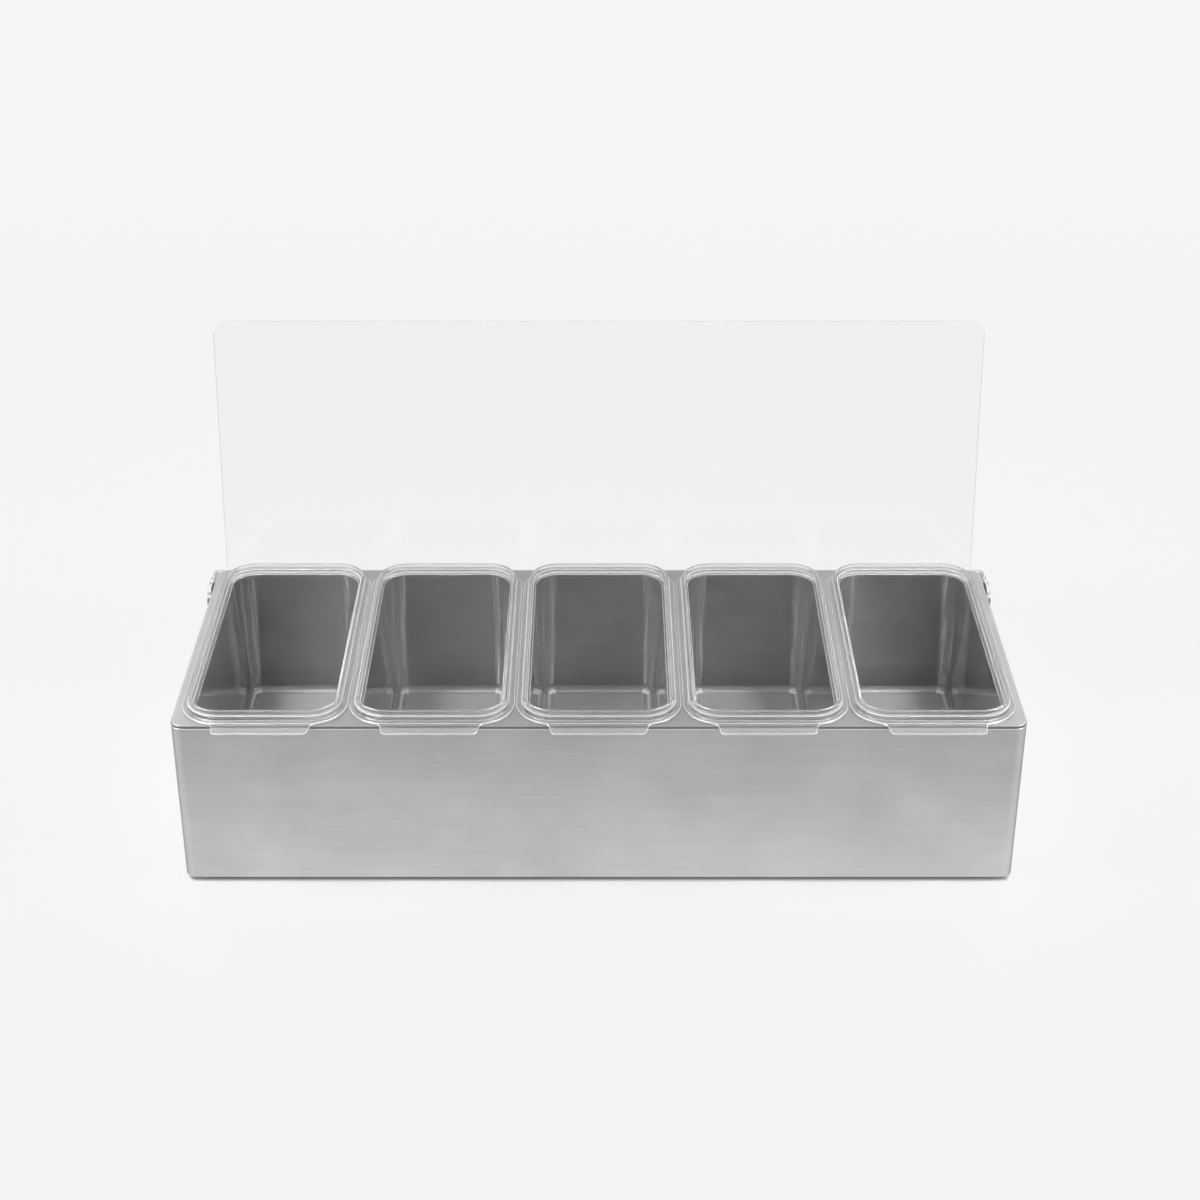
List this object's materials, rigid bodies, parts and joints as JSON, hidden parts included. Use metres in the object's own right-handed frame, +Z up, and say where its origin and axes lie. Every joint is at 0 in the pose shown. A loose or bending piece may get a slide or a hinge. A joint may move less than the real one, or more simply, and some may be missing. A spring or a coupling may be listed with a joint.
{
  "type": "condiment holder",
  "caption": "Long brushed steel serving box with clear drop-in inserts that have thumb tabs, rubber feet and a clear lid hinged on side pivots that swings back past upright.",
  "frame": {"origin": "on the surface it stands on, below the middle of the whole object with its lid open", "axes": "+X to the right along the box, +Y to the back where the lid stands, +Z up"},
  "size_m": [0.5116, 0.24, 0.2717],
  "materials": {
    "brushed_steel": "horizontal satin brushing",
    "clear_insert": "clear moulded plastic",
    "clear_lid": "clear sheet with polished edges",
    "bright_metal": "polished",
    "black_rubber": "matt rubber",
    "black_washer": "matt",
    "pale_nylon": "matt"
  },
  "bodies": {
    "base": {"body_wrap": "brushed_steel", "deck_plate": "brushed_steel", "base_plate": "brushed_steel", "foot_screws": "bright_metal", "foot_nuts": "bright_metal", "foot_front_left": "black_rubber", "foot_front_right": "black_rubber", "foot_rear_left": "black_rubber", "foot_rear_right": "black_rubber", "hinge_screw_left": "bright_metal", "hinge_washer_left": "pale_nylon", "hinge_spacer_left": "black_washer", "hinge_nut_left": "bright_metal", "lid_bumper_left": "black_rubber", "hinge_screw_right": "bright_metal", "hinge_washer_right": "pale_nylon", "hinge_spacer_right": "black_washer", "hinge_nut_right": "bright_metal", "lid_bumper_right": "black_rubber"},
    "lid": {"lid": "clear_lid"},
    "insert_1": {"insert_1": "clear_insert"},
    "insert_2": {"insert_2": "clear_insert"},
    "insert_3": {"insert_3": "clear_insert"},
    "insert_4": {"insert_4": "clear_insert"},
    "insert_5": {"insert_5": "clear_insert"}
  },
  "joints": [
    {"name": "lid_hinge", "type": "hinge", "parent": "base", "child": "lid", "pos_m": [0, 0.06635, 0.0991], "axis": [-1, 0, 0], "range_deg": [-100.5, 0]},
    {"name": "insert_1_lift", "type": "slide", "parent": "base", "child": "insert_1", "axis": [0, 0, 1], "range_m": [0, 0.1]},
    {"name": "insert_2_lift", "type": "slide", "parent": "base", "child": "insert_2", "axis": [0, 0, 1], "range_m": [0, 0.1]},
    {"name": "insert_3_lift", "type": "slide", "parent": "base", "child": "insert_3", "axis": [0, 0, 1], "range_m": [0, 0.1]},
    {"name": "insert_4_lift", "type": "slide", "parent": "base", "child": "insert_4", "axis": [0, 0, 1], "range_m": [0, 0.1]},
    {"name": "insert_5_lift", "type": "slide", "parent": "base", "child": "insert_5", "axis": [0, 0, 1], "range_m": [0, 0.1]}
  ]
}
